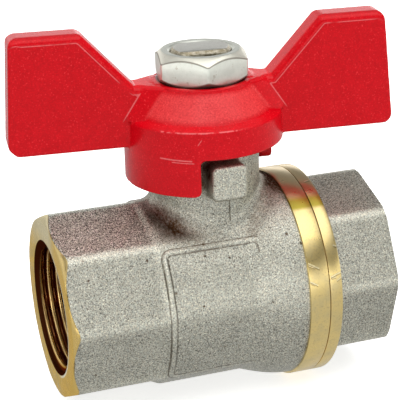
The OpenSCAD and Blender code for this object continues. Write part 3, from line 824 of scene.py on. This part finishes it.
def polygon_distance(u, v, corners):
    """Signed distance to a polygon: the nearest edge, and the winding number for the sign."""
    best = np.full(u.shape, 1e9)
    wound = np.zeros(u.shape, bool)
    for (ax, ay), (bx, by) in zip(corners, corners[1:] + corners[:1]):
        ex, ey = bx - ax, by - ay
        t = np.clip(((u - ax) * ex + (v - ay) * ey) / (ex * ex + ey * ey), 0, 1)
        best = np.minimum(best, np.hypot(u - ax - t * ex, v - ay - t * ey))
        crosses = (ay > v) != (by > v)
        wound ^= crosses & (u < ax + (v - ay) * ex / (ey if ey else 1e-9))
    return np.where(wound, -best, best)


def inset(corners, amount):
    """The polygon with each side moved inwards by an amount; its corners run anticlockwise."""
    sides = []
    for (ax, ay), (bx, by) in zip(corners, corners[1:] + corners[:1]):
        length = math.hypot(bx - ax, by - ay)
        nx, ny = -(by - ay) / length, (bx - ax) / length
        sides.append((ax + nx * amount, ay + ny * amount, bx - ax, by - ay))
    moved = []
    for (ax, ay, ex, ey), (bx, by, fx, fy) in zip(sides[-1:] + sides[:-1], sides):
        t = ((bx - ax) * fy - (by - ay) * fx) / (ex * fy - ey * fx)
        moved.append((ax + t * ex, ay + t * ey))
    return moved


both_wings = [(-37.2, 31.7), (38.4, 31.7), (36.4, 54.7), (23.4, 54.7), (13.4, 43.7), (-13.7, 43.7),
              (-23.7, 54.7), (-37.3, 54.8), (-38.8, 33.4)]
wing_core = inset(both_wings, 1.9)
wing_foot, bridge_top, wing_bottom = 13.55, 43.7, 31.7
ledge_z, cone_foot_z, cone_top_z = 36.95, 37.65, 43.05
cone_foot_r, cone_top_r = 13.5, 10.0
skirt_foot = 24.1
window_left, window_back, window_top = -3.75, 4.15, 31.5
cavity_r, cavity_top = 13.45, 34.0
hole_half = 4.05
hub_outline = [(-20, skirt_foot), (15.85, skirt_foot), (15.8, wing_bottom), (15.5, ledge_z),
               (cone_foot_r, cone_foot_z), (cone_top_r, cone_top_z), (cone_top_r, bridge_top),
               (-20, bridge_top)]
hub_core = inset(hub_outline, 0.3)
ramp_leg = 2.4
skirt_marks = [((-14.0, 31.75), (-7.4, 31.55), 0.20), ((-11.5, 31.2), (-7.0, 31.1), 0.14),
               ((-5.5, 35.7), (-6.3, 34.6), 0.12)]


def wing_edge(x, z):
    """Distance to the wings' outline with rounded corners, and the radius of its edges, which is
    wide along the top and the fall and small at the outer ends and along the bottom."""
    across = np.abs(x + 0.15)
    fall = -0.74 * (across - wing_foot) + 0.6725 * (z - bridge_top)
    above = np.maximum(z - 54.75, fall)
    beside = np.maximum(across - 38.45 + 0.08 * (z - wing_bottom), wing_bottom - z)
    share = np.clip((above - beside) / 3.0 + 0.75, 0, 1) * np.clip((across - 11.0) / 2.0, 0, 1)
    return polygon_distance(x, z, wing_core) - 1.9, 0.4 + 1.1 * share * share * (3 - 2 * share)


def hub_distance(radius, z):
    """Distance to the hub turned from its outline: skirt, ledge, cone and collar under the nut."""
    return polygon_distance(radius, z, hub_core) - 0.3


def cone_distance(radius, z):
    """Distance to the cone between its foot on the ledge and the collar."""
    slope = (cone_foot_r - cone_top_r) / (cone_top_z - cone_foot_z)
    return (radius - cone_foot_r + slope * (z - cone_foot_z)) / math.hypot(1, slope)


def handle_form(p):
    """Distance to the casting: hub and wings with flat ramps between, less its cavity and window."""
    x, y, z = p
    radius = np.hypot(x, y)
    edge, ease = wing_edge(x, z)
    wings = common(edge, np.abs(y) - wing_half, ease)
    hub = hub_distance(radius, z)
    cone = cone_distance(radius, z)
    web = np.maximum(radius - 15.9, ledge_z - 0.1 - z)
    web = np.maximum((cone + wings - ramp_leg) * math.sqrt(0.5), web)
    web = common(web, z - bridge_top, 0.7)
    solid = np.minimum(joined(hub, wings, 0.5), web)
    window = np.minimum(x - window_left, window_back - y)
    tab = common(window, skirt_foot - z, 1.4)
    skirt = joined(tab, window_top - z, 0.9)
    solid = common(solid, skirt, 0.35)
    cavity = common(radius - cavity_r, z - cavity_top, 0.5)
    bore = common(radius - stem_hole_r, np.abs(y) - hole_half, 0.1)
    solid = common(solid, -cavity, 0.3)
    return common(solid, -bore, 0.2)


def handle_lacquer():
    """Stove lacquer: deep red with fine orange peel, a painted pale sheen on the cone, painted highlights
    in broken lines along the die's edges, a few scratches, painted shade on the wing tops and a painted
    shadow in a ring under the nut."""
    made, tree, shader, where = new_material("handle_lacquer", 0.0, 0.24)
    shader.inputs["Specular IOR Level"].default_value = 0.20
    x, y, z = split(tree, where)
    x = sums(tree, "SUBTRACT", x, STEM_X)
    radius = from_axis(tree, x, y)
    peel = noise(tree, where, 1.6, 2.0, 0.5)
    fleck = noise(tree, where, 0.5, 3.0, 0.6, 9)
    dots = noise(tree, where, 3.0, 2.0, 0.6, 77)
    colour = blended(tree, ramp(tree, fleck, 0.3, 0.7), (0.65, 0.0006, 0.0068), (0.71, 0.0012, 0.0085))
    # A painted pale sheen on the cone.
    sheen = kept(tree, "painted_sheen")
    sheen = times(tree, sheen, scaled(tree, dots, 1.3, 0.35))
    sheen = times(tree, sheen, scaled(tree, noise(tree, where, 0.16, 2.0, 0.5, 66), 1.0, 0.5))
    colour = blended(tree, sheen, colour, (0.80, 0.052, 0.055))
    colour = tinted(tree, colour, ramp(tree, dots, 0.62, 0.72), 0.35, (0.80, 0.10, 0.11))
    # Painted highlights in broken lines: along the fine ledge inside the wings' edges and round the skirt's
    # ledge at the front.
    gap = kept(tree, "pad_gap")
    shown = kept(tree, "pad_shown")
    worn = ramp(tree, noise(tree, where, 0.25, 2.0, 0.5, 31), 0.30, 0.50)
    line = ramp(tree, sums(tree, "ABSOLUTE", gap), 0.15, 0.04)
    line = times(tree, line, times(tree, worn, shown))
    broken = ramp(tree, noise(tree, where, 0.55, 2.0, 0.6, 44), 0.44, 0.56)
    on_ledge = times(tree, ramp(tree, radius, 15.15, 15.35), ramp(tree, radius, 15.85, 15.75))
    ledge_highlight = ramp(tree, sums(tree, "ABSOLUTE", sums(tree, "SUBTRACT", z, ledge_z)), 0.20, 0.08)
    ledge_highlight = times(tree, ledge_highlight, times(tree, broken, on_ledge))
    round_hub = times(tree, sums(tree, "ARCTAN2", x, times(tree, y, -1.0)), 15.8)
    in_front = times(tree, ramp(tree, round_hub, -15.0, -14.2), ramp(tree, round_hub, 3.0, 2.0))
    marks = sums(tree, "MAXIMUM", line, times(tree, ledge_highlight, in_front))
    on_skirt = times(tree, ramp(tree, radius, 15.5, 15.6), ramp(tree, radius, 16.3, 16.2))
    for start, end, width in skirt_marks:
        mark_here = times(tree, scratch(tree, round_hub, z, start, end, width), on_skirt)
        marks = sums(tree, "MAXIMUM", mark_here, marks)
    # The painted highlight lines and the real skirt scratches, both in pale red.
    colour = tinted(tree, colour, marks, 0.62, (0.88, 0.22, 0.23))
    colour = dimmed(tree, colour, scaled(tree, dots, 0.60, 0.70))
    # Painted shade on the flat tops of the wings.
    colour = dimmed(tree, colour, ramp(tree, z, 54.2, 54.7, 1.0, 0.80))
    # A painted shadow in a ring round the nut's foot.
    nut_shadow = times(tree, ramp(tree, radius, 9.3, 8.8), ramp(tree, z, 43.3, 43.5))
    colour = tinted(tree, colour, nut_shadow, 0.85, (0.03, 0.012, 0.010))
    coat(tree, shader, colour, scaled(tree, fleck, 0.10, 0.19), scaled(tree, marks, 1.5, peel), 0.012)
    return made


handle_skin = skinned(handle_form, (-39.8, -16.8, 23.0), (39.4, 16.8, 56.0), skin_step)
handle = piece("handle_casting", about_stem(handle_skin[0]), handle_skin[1], "spindle", ["handle"],
               handle_lacquer(), normals=about_stem(handle_skin[2]) - (STEM_X, 0, 0))
casting_x, casting_y, casting_z = handle_skin[0].T
outline_gap, edge_ease = wing_edge(casting_x, casting_z)
from_hub = cone_distance(np.maximum(np.hypot(casting_x, casting_y), 1.0), np.maximum(casting_z, ledge_z))
# Where the painted highlight lines run inside the wings' edges.
mark(handle, "pad_gap", np.maximum(outline_gap + edge_ease, ramp_leg - from_hub))
# Where the painted sheen lies on the cone.
on_cone = np.clip((casting_z - 37.7) / 0.9, 0, 1) * np.clip((43.1 - casting_z) / 0.9, 0, 1)
on_cone = on_cone * np.clip((0.35 - np.abs(from_hub)) / 0.15, 0, 1)
mark(handle, "painted_sheen", on_cone)
mark(handle, "pad_shown", np.clip((edge_ease - 0.6) / 0.5, 0, 1) * np.clip((casting_z - 35.5) / 2.5, 0, 1))

# ---------------------------------------------------------------------------------------------
# Lock nut: a thin hexagon nut in zinc-plated steel. It is chamfered at both faces, its hole is
# countersunk, and it holds the handle down on the stem.
# ---------------------------------------------------------------------------------------------
nut_apothem, nut_top_circle, nut_foot_circle = 8.5, 7.75, 8.4
nut_sink_r = 6.45
nut_seat, nut_height = 43.7, 5.75
NUT_TURN = math.radians(-11)


def nut_surface():
    """Rings round the nut: the hexagon folded into one flat, cut by a cone at each face. With them
    go the distance from the nearest edge and a mark on the top chamfer."""
    turns = 360
    angle = (np.arange(turns) + 0.5) / turns * 2 * math.pi
    fold = np.abs((angle % (math.pi / 3)) - math.pi / 6)
    side = np.minimum(nut_apothem / np.cos(fold), nut_apothem / math.cos(math.pi / 6) - 0.12)
    top = nut_height - (side - nut_top_circle) * 0.78
    bottom = (side - nut_foot_circle) * 0.85
    level = 0 * angle
    rows = [
        (level + stem_hole_r, level),
        (level + nut_foot_circle, level),
        (side - 0.05, bottom - 0.03),
        (side, bottom + 0.07),
        (side, (top + bottom) / 2),
        (side, top - 0.07),
        (side - 0.05, top + 0.02),
        ((side + nut_top_circle) / 2, (top + nut_height) / 2),
        (level + nut_top_circle + 0.06, level + nut_height - 0.03),
        (level + nut_top_circle - 0.12, level + nut_height),
        (level + 7.2, level + nut_height),
        (level + nut_sink_r + 0.1, level + nut_height),
        (level + nut_sink_r, level + nut_height - 0.06),
        (level + stem_hole_r, level + nut_height - 0.45),
    ]
    radius, height = (np.array(part) for part in zip(*rows))
    edge_gap = np.full_like(radius, 2.0)
    edge_gap[[1, 2, 3, 5, 6]] = 0.0
    edge_gap[7:9] = side - radius[7:9]
    chamfered = np.zeros_like(radius)
    chamfered[6:9] = 1.0
    index = np.arange(radius.size).reshape(radius.shape)
    here, there = index, np.roll(index, -1, 0)
    quads = np.stack([here, np.roll(here, -1, 1), np.roll(there, -1, 1), there], -1).reshape(-1, 4)
    turned = angle - math.pi / 2
    points = np.stack([radius * np.cos(turned), radius * np.sin(turned), height + nut_seat], -1)
    return points.reshape(-1, 3), quads, edge_gap.ravel(), chamfered.ravel()


def nut_zinc():
    """Bright zinc plate over forged steel: soft grey with faint scale in patches and small brown stains,
    painted shade on the top face, a painted highlight on the top chamfer, and painted shade in thin
    dark lines along its edges.
    """
    made, tree, shader, where = new_material("nut_zinc", 0.85, 0.4)
    cloud = noise(tree, where, 0.6, 3.0, 0.6, 3)
    grain = noise(tree, where, 4.5, 2.0, 0.5, 15)
    colour = blended(tree, ramp(tree, cloud, 0.35, 0.7), (0.725, 0.745, 0.665), (0.795, 0.815, 0.735))
    height = split(tree, where)[2]
    nut_top = nut_seat + nut_height
    # Painted shade on the top face.
    on_top = ramp(tree, height, nut_top - 0.25, nut_top - 0.1, 1.0, 0.80)
    colour = dimmed(tree, colour, on_top)
    # A painted highlight on the top chamfer.
    painted_band = kept(tree, "chamfered")
    colour = tinted(tree, colour, painted_band, 0.6, (0.94, 0.90, 0.77))
    # Painted shade in thin dark lines along the edges.
    gap = kept(tree, "edge_gap")
    colour = blended(tree, ramp(tree, gap, 0.17, 0.05, 0.0, 0.75), colour, (0.20, 0.18, 0.14))
    stain = ramp(tree, noise(tree, where, 1.1, 4.0, 0.7, 55), 0.60, 0.70)
    colour = tinted(tree, colour, stain, 0.6, (0.42, 0.36, 0.26))
    coat(tree, shader, colour, scaled(tree, cloud, 0.2, 0.32), scaled(tree, cloud, 1.0, grain), 0.03)
    return made


nut_points, nut_faces, nut_edge_gap, nut_chamfered = nut_surface()
nut = piece("hex_lock_nut", about_stem(nut_points, NUT_TURN), nut_faces, "spindle", ["lock_nut"],
            nut_zinc(), 30)
mark(nut, "edge_gap", nut_edge_gap)
mark(nut, "chamfered", nut_chamfered)

# ---------------------------------------------------------------------------------------------
# Studio: a white floor, and large soft boxes low at the front left and the back right, with a
# dimmer ceiling. They are parts of the surround, so that the metal mirrors wide soft shapes.
# ---------------------------------------------------------------------------------------------
FLOOR_Z = min(p[2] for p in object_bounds()) - 0.00002


def studio_floor():
    """A wide white sheet under the valve. It keeps the shadow and is seen as plain white."""
    size = 6.0
    corners = [(x * size, y * size, FLOOR_Z) for x, y in ((-1, -1), (1, -1), (1, 1), (-1, 1))]
    mesh = bpy.data.meshes.new("studio_floor")
    mesh.from_pydata(corners, [], [(0, 1, 2, 3)])
    floor = bpy.data.objects.new("studio_floor", mesh)
    bpy.context.scene.collection.objects.link(floor)
    floor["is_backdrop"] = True
    made = bpy.data.materials.new("floor_white")
    made.use_nodes = True
    tree = made.node_tree
    tree.nodes.clear()
    paths = put(tree, "ShaderNodeLightPath")
    matt = put(tree, "ShaderNodeBsdfDiffuse", {"Color": (0.86, 0.86, 0.85, 1)}).outputs[0]
    glow = put(tree, "ShaderNodeEmission", {"Color": (1, 1, 1, 1), "Strength": 0.70}).outputs[0]
    clear = put(tree, "ShaderNodeAddShader", {0: matt, 1: glow}).outputs[0]
    mirrored = put(tree, "ShaderNodeEmission", {"Color": (1, 1, 1, 1), "Strength": 0.66}).outputs[0]
    seen = matt
    for ray, shown in (("Is Glossy Ray", mirrored), ("Is Camera Ray", clear)):
        seen = put(tree, "ShaderNodeMixShader", {0: paths.outputs[ray], 1: seen, 2: shown}).outputs[0]
    put(tree, "ShaderNodeOutputMaterial", {0: seen})
    mesh.materials.append(made)


def soft_lamp(name, place, target, width, height, watts):
    """A rectangular soft box that faces its target."""
    data = bpy.data.lights.new(name, "AREA")
    data.shape = "RECTANGLE"
    data.size, data.size_y = width, height
    data.energy = watts
    lamp = bpy.data.objects.new(name, data)
    lamp.location = place
    lamp.rotation_euler = (Vector(target) - Vector(place)).to_track_quat("-Z", "Y").to_euler()
    bpy.context.scene.collection.objects.link(lamp)


def studio_world():
    """White to the camera. Mirrored and diffuse light come from soft boxes of the surround: each
    has a level and its bounds upwards, backwards and to the right, as parts of a unit direction."""
    free, below, above = (None, None), (None, 0), (0, None)
    mirrored_boxes = [
        (2.70, (None, 0.25), below, below), (1.50, (None, 0.25), below, above),
        (0.17, (0.25, 0.64), below, free), (0.74, (0.64, 0.85), below, free),
        (0.88, (0.85, None), free, free), (0.25, (0.55, 0.85), above, free),
        (1.00, (0.22, 0.55), above, below), (0.30, (0.22, 0.55), above, above),
        (0.60, (None, 0.22), above, below), (2.10, (None, 0.22), above, above)]
    diffuse_boxes = [(1.42, (0.6, None), free, free), (0.28, (None, 0.6), below, free)]
    world = bpy.data.worlds.new("studio")
    bpy.context.scene.world = world
    world.use_nodes = True
    tree = world.node_tree
    tree.nodes.clear()
    direction = put(tree, "ShaderNodeTexCoord").outputs["Generated"]
    x, y, z = split(tree, direction)

    def level(boxes):
        total = 0.0
        for strength, up, back, right in boxes:
            share = strength
            for value, (low, high), soft in ((z, up, 0.09), (y, back, 0.25), (x, right, 0.35)):
                if low is not None:
                    share = times(tree, ramp(tree, value, low - soft, low + soft), share)
                if high is not None:
                    share = times(tree, ramp(tree, value, high - soft, high + soft, 1.0, 0.0), share)
            total = sums(tree, "ADD", share, total)
        return total

    def either(factor, first, second):
        return put(tree, "ShaderNodeMix", {0: factor, 2: first, 3: second}, data_type="FLOAT").outputs[0]

    paths = put(tree, "ShaderNodeLightPath")
    mirrored = sums(tree, "MAXIMUM", paths.outputs["Is Glossy Ray"], paths.outputs["Is Transmission Ray"])
    light = either(mirrored, level(diffuse_boxes), level(mirrored_boxes))
    final = either(paths.outputs["Is Camera Ray"], light, 1.0)
    shade = put(tree, "ShaderNodeBackground", {0: (1, 1, 1, 1), 1: final}).outputs[0]
    put(tree, "ShaderNodeOutputWorld", {0: shade})


studio_floor()
studio_world()
soft_lamp("key_softbox", (0.10, -0.20, 0.42), (STEM_X * MM, 0, 0.01), 0.60, 0.30, 0.70)

# ---------------------------------------------------------------------------------------------
# Camera: a long lens a little above and to the left of the valve's front. It leans a little, and
# its axis passes beside the middle of the square frame.
# ---------------------------------------------------------------------------------------------
IMAGE_PX = 400
yaw, pitch, roll = 0.329856, 0.379732, -0.030584
camera_distance = 287.35 * MM
focal_px = 1406.95
middle_px = (206.15, 231.84)
target = Vector((STEM_X * MM, 0, 0.011))
forward = Vector((math.sin(yaw) * math.cos(pitch), math.cos(yaw) * math.cos(pitch), -math.sin(pitch)))
level_right = Vector((math.cos(yaw), -math.sin(yaw), 0))
level_up = level_right.cross(forward)
right = level_right * math.cos(roll) + level_up * math.sin(roll)
up = -level_right * math.sin(roll) + level_up * math.cos(roll)
lens = bpy.data.cameras.new("camera")
lens.sensor_width = 36
lens.lens = focal_px / IMAGE_PX * lens.sensor_width
lens.shift_x = (IMAGE_PX / 2 - middle_px[0]) / IMAGE_PX
lens.shift_y = (middle_px[1] - IMAGE_PX / 2) / IMAGE_PX
lens.clip_start, lens.clip_end = 0.01, 20
camera = bpy.data.objects.new("camera", lens)
camera.matrix_world = Matrix.Translation(target - forward * camera_distance) @ Matrix(
    (right, up, -forward)).transposed().to_4x4()
bpy.context.scene.collection.objects.link(camera)
bpy.context.scene.camera = camera
bpy.context.scene.view_settings.view_transform = "Standard"
